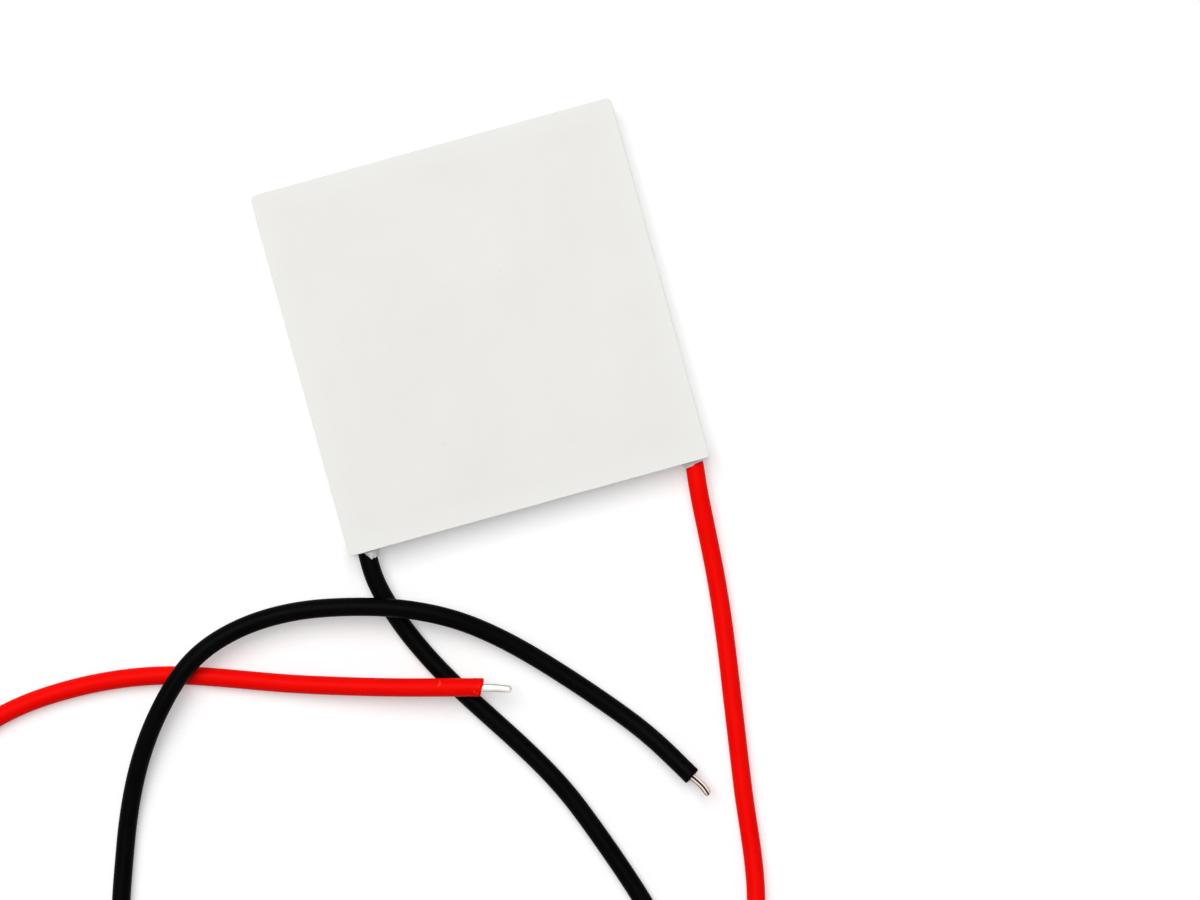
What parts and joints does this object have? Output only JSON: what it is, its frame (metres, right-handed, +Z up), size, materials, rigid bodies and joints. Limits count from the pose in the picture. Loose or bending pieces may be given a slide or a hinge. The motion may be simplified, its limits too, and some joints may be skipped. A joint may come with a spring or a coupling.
{
  "type": "thermoelectric cooling module",
  "caption": "Flat square thermoelectric cooler: two white ceramic plates with semiconductor legs between, sealed edge, red and black leads with tinned ends.",
  "frame": {"origin": "middle of the hot (lower) ceramic face", "axes": "+Z up, from the hot face to the cold face; -Y towards the edge that the leads leave by; +X along that edge, towards the red lead"},
  "size_m": [0.0954, 0.1051, 0.0044],
  "materials": {
    "alumina": "plain white sintered alumina, fine and matt",
    "copper": "flat copper strip, dull",
    "n_leg_alloy": "sawn bismuth telluride, grey with a fine crystal grain",
    "p_leg_alloy": "sawn bismuth telluride, slightly lighter grey",
    "tinned_copper": "solder-coated stranded copper, bright",
    "solder": "solder, smooth and satin",
    "silicone": "white silicone sealant, satin",
    "red_insulation": "red wire insulation, satin",
    "black_insulation": "black wire insulation, satin"
  },
  "bodies": {
    "root": {"hot_plate": "alumina", "cold_plate": "alumina", "hot_tabs": "copper", "cold_tabs": "copper", "n_legs_column_01": "n_leg_alloy", "n_legs_column_02": "n_leg_alloy", "n_legs_column_03": "n_leg_alloy", "n_legs_column_04": "n_leg_alloy", "n_legs_column_05": "n_leg_alloy", "n_legs_column_06": "n_leg_alloy", "n_legs_column_07": "n_leg_alloy", "n_legs_column_08": "n_leg_alloy", "n_legs_column_09": "n_leg_alloy", "n_legs_column_10": "n_leg_alloy", "n_legs_column_11": "n_leg_alloy", "n_legs_column_12": "n_leg_alloy", "n_legs_column_13": "n_leg_alloy", "n_legs_column_14": "n_leg_alloy", "n_legs_column_15": "n_leg_alloy", "n_legs_column_16": "n_leg_alloy", "p_legs_column_01": "p_leg_alloy", "p_legs_column_02": "p_leg_alloy", "p_legs_column_03": "p_leg_alloy", "p_legs_column_04": "p_leg_alloy", "p_legs_column_05": "p_leg_alloy", "p_legs_column_06": "p_leg_alloy", "p_legs_column_07": "p_leg_alloy", "p_legs_column_08": "p_leg_alloy", "p_legs_column_09": "p_leg_alloy", "p_legs_column_10": "p_leg_alloy", "p_legs_column_11": "p_leg_alloy", "p_legs_column_12": "p_leg_alloy", "p_legs_column_13": "p_leg_alloy", "p_legs_column_14": "p_leg_alloy", "p_legs_column_15": "p_leg_alloy", "p_legs_column_16": "p_leg_alloy", "red_lead_pad": "copper", "black_lead_pad": "copper", "red_core_end": "tinned_copper", "black_core_end": "tinned_copper", "red_solder_mound": "solder", "black_solder_mound": "solder", "edge_seal": "silicone", "red_lead": "red_insulation", "black_lead": "black_insulation", "red_lead_tip": "tinned_copper", "black_lead_tip": "tinned_copper"}
  },
  "joints": []
}
